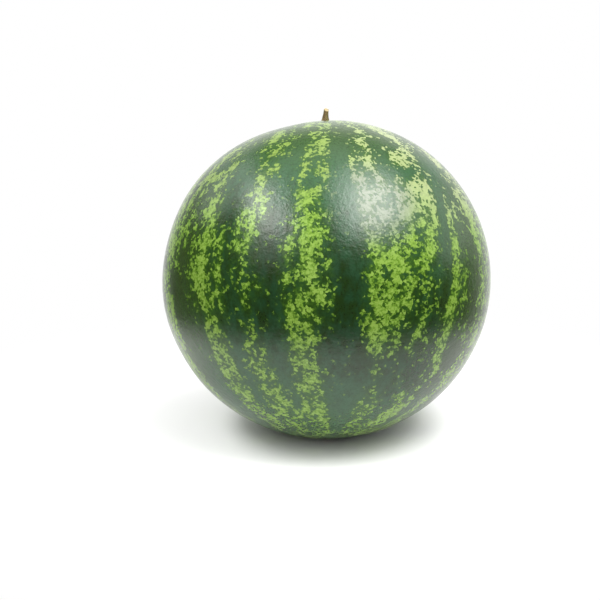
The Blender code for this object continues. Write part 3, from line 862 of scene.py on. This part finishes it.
def stem_material():
    tree = Tree("stem_bark")
    own = tree.add("TexCoord", {})["Object"]
    place = tree.scaled(own, 1 / MM)
    drawn = tree.vector("MULTIPLY", place, (1.0, 1.0, 0.14))
    fibre = tree.noise(drawn, 0.5, 3.0, 0.65)[0]
    patch = tree.noise(drawn, 1.6, 2.0, 0.5)[0]
    bark = tree.mix(tree.ramp(fibre, 0.35, 0.66), DARK_BARK, LIGHT_BARK)
    bark = tree.mix(tree.ramp(patch, 0.4, 0.62), bark, GREENISH_BARK)
    bump = tree.add("Bump", {"Strength": 0.8, "Distance": 0.12 * MM, "Height": fibre})[0]
    tree.shade(base_color=bark, roughness=0.75, ior=1.4, normal=bump)
    return tree.material


def cut_material():
    tree = Tree("stem_cut")
    own = tree.add("TexCoord", {})["Object"]
    place = tree.scaled(own, 1 / MM)
    grain = tree.noise(place, 0.45, 3.0, 0.6)[0]
    face = tree.mix(tree.ramp(grain, 0.32, 0.68), DARK_CUT, LIGHT_CUT)
    bump = tree.add("Bump", {"Strength": 0.7, "Distance": 0.08 * MM, "Height": grain})[0]
    tree.shade(base_color=face, roughness=0.8, ior=1.4, normal=bump)
    return tree.material


def make_stem(leaning, centre):
    """Makes the fine stem, standing in the hollow of the fruit with this centre."""
    points, rows = stem_points()
    points[:, 2] += POLAR_RADIUS - HOLLOW_DEPTH + STEM_CLEARANCE
    points = points @ np.array(leaning).T + np.array(centre)
    faces = []
    for row in range(rows - 1):
        for side in range(STEM_SIDES):
            beside = (side + 1) % STEM_SIDES
            low, high = row * STEM_SIDES, (row + 1) * STEM_SIDES
            faces.append((low + side, low + beside, high + beside, high + side))
    faces.append(tuple(range((rows - 1) * STEM_SIDES, rows * STEM_SIDES)))
    faces.append(tuple(reversed(range(STEM_SIDES))))
    stem = mesh_object("stem_stub", points, faces, [stem_material(), cut_material()])
    for number, face in enumerate(stem.data.polygons):
        on_cut = (STEM_ROWS - 1) * STEM_SIDES <= number < len(faces) - 1
        face.material_index = 1 if on_cut else 0
    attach(stem, "root")
    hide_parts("stem")


# ---- Studio ----

CAMERA_ELEVATION = math.radians(14)
CAMERA_DISTANCE = 1.25
LENS = 98.1
# How far the fruit's centre stands right of and above the middle of the view, in metres.
VIEW_RIGHT = 0.0202
VIEW_UP = 0.0158
# The lights: towards where from the fruit, how far, width and length, radiance, and whether the rind
# mirrors it. Each softbox is brighter in its middle.
LIGHTS = (
    ("left_softbox", (-0.58, -0.24, 0.78), 1.5, (0.74, 1.90), 2.8, True),
    ("left_softbox_middle", (-0.57, -0.26, 0.78), 1.49, (0.38, 1.15), 8.5, True),
    ("left_low_window", (-0.65, -0.61, 0.45), 1.48, (0.44, 0.80), 1.4, True),
    ("right_softbox", (0.42, -0.28, 0.86), 1.5, (1.35, 1.80), 3.6, True),
    ("right_softbox_middle", (0.44, -0.30, 0.85), 1.49, (0.70, 1.05), 8.5, True),
    ("right_panel", (0.88, 0.20, 0.44), 1.5, (1.20, 1.30), 1.3, True),
    ("left_panel", (-0.70, 0.42, 0.58), 1.5, (0.90, 1.00), 1.7, True),
    ("overhead", (0.05, 0.15, 0.98), 1.7, (2.20, 1.50), 1.1, True),
    ("front_fill", (-0.08, -0.87, 0.44), 1.6, (1.20, 1.20), 2.7, False),
)
FLOOR_RADIUS = 0.38
FLOOR_SIDES = 96
FLOOR_WHITE = (0.85, 0.85, 0.85, 1)
# Where the floor starts to fade and where it is gone, as shares of its radius.
FLOOR_FADE = (0.5, 0.98)
# The surroundings' light: everywhere for what is matt, and rising from low to high, towards what lies
# behind the fruit, for what is glossy.
EVEN_LIGHT = 0.17
BRIGHT_WAY = Vector((0.14, 0.98, -0.12))
BRIGHT_SPREAD = (0.48, 0.97)
GLOSS_LIGHT = (0.06, 1.35)


def make_camera(centre):
    back = Vector((0, -math.cos(CAMERA_ELEVATION), math.sin(CAMERA_ELEVATION)))
    up = Vector((0, math.sin(CAMERA_ELEVATION), math.cos(CAMERA_ELEVATION)))
    target = centre - Vector((VIEW_RIGHT, 0, 0)) - up * VIEW_UP
    data = bpy.data.cameras.new("camera")
    data.lens = LENS
    camera = bpy.data.objects.new("camera", data)
    camera.location = target + back * CAMERA_DISTANCE
    camera.rotation_euler = (-back).to_track_quat("-Z", "Y").to_euler()
    bpy.context.scene.collection.objects.link(camera)
    bpy.context.scene.camera = camera


def make_light(name, centre, towards, distance, size, radiance, in_gloss):
    """An oval area light out there, which faces the fruit, with its long side running back.

    An area light's power is pi times its area and its radiance.
    """
    data = bpy.data.lights.new(name, "AREA")
    data.shape = "ELLIPSE"
    data.size, data.size_y = size
    data.energy = radiance * math.pi * size[0] * size[1] * math.pi / 4
    lamp = bpy.data.objects.new(name, data)
    way = Vector(towards).normalized()
    across = Vector((0, 1, 0)).cross(way).normalized()
    facing = Matrix((across, way.cross(across), way)).transposed()
    lamp.matrix_world = Matrix.Translation(centre + way * distance) @ facing.to_4x4()
    lamp.visible_camera = False
    lamp.visible_glossy = in_gloss
    bpy.context.scene.collection.objects.link(lamp)


def make_floor():
    """A white disc that fades out before its edge into the white all round."""
    rim = np.linspace(0, math.tau, FLOOR_SIDES, endpoint=False)
    corners = np.stack((FLOOR_RADIUS * np.cos(rim), FLOOR_RADIUS * np.sin(rim), 0 * rim), axis=1)
    tree = Tree("floor_white")
    away = tree.vector("LENGTH", tree.add("TexCoord", {})["Object"])
    fade = (share * FLOOR_RADIUS for share in FLOOR_FADE)
    shown = tree.ramp(away, *fade, 1.0, 0.0)
    tree.shade(base_color=FLOOR_WHITE, roughness=1.0, specular_ior_level=0.0, alpha=shown)
    floor = mesh_object("floor", corners, [tuple(range(FLOOR_SIDES))], [tree.material])


def make_surroundings():
    """White to the camera, even as light, and in the gloss bright only behind the fruit."""
    world = bpy.data.worlds.new("studio")
    world.use_nodes = True
    nodes, links = world.node_tree.nodes, world.node_tree.links
    nodes.clear()

    def white(strength):
        background = nodes.new("ShaderNodeBackground")
        background.inputs["Color"].default_value = (1, 1, 1, 1)
        background.inputs["Strength"].default_value = strength
        return background

    def chosen(ray_kind, others, special):
        """The shader called special for rays of this kind, and the one called others for the rest."""
        choose = nodes.new("ShaderNodeMixShader")
        links.new(rays.outputs[ray_kind], choose.inputs[0])
        links.new(others, choose.inputs[1])
        links.new(special.outputs[0], choose.inputs[2])
        return choose.outputs[0]

    way = nodes.new("ShaderNodeTexCoord")
    dot = nodes.new("ShaderNodeVectorMath")
    dot.operation = "DOT_PRODUCT"
    dot.inputs[1].default_value = BRIGHT_WAY
    links.new(way.outputs["Generated"], dot.inputs[0])
    rise = nodes.new("ShaderNodeMapRange")
    rise.interpolation_type = "SMOOTHSTEP"
    for key, value in enumerate((*BRIGHT_SPREAD, *GLOSS_LIGHT), 1):
        rise.inputs[key].default_value = value
    links.new(dot.outputs["Value"], rise.inputs["Value"])
    in_gloss = white(1.0)
    links.new(rise.outputs[0], in_gloss.inputs["Strength"])

    rays = nodes.new("ShaderNodeLightPath")
    shader = chosen("Is Glossy Ray", white(EVEN_LIGHT).outputs[0], in_gloss)
    shader = chosen("Is Camera Ray", shader, white(1.0))
    output = nodes.new("ShaderNodeOutputWorld")
    links.new(shader, output.inputs["Surface"])
    bpy.context.scene.world = world


def make_studio(centre):
    make_camera(centre)
    make_floor()
    make_surroundings()
    for name, towards, distance, size, radiance, in_gloss in LIGHTS:
        make_light(name, centre, towards, distance, size, radiance, in_gloss)
    view = bpy.context.scene.view_settings
    view.view_transform = "Standard"
    view.look = "None"


# ---- The whole ----


def main():
    leaning = Matrix.Rotation(-LEAN_BACK, 3, "X") @ Matrix.Rotation(-LEAN_LEFT, 3, "Y")
    centre = make_fruit(leaning)
    make_stem(leaning, centre)
    make_studio(centre)


main()
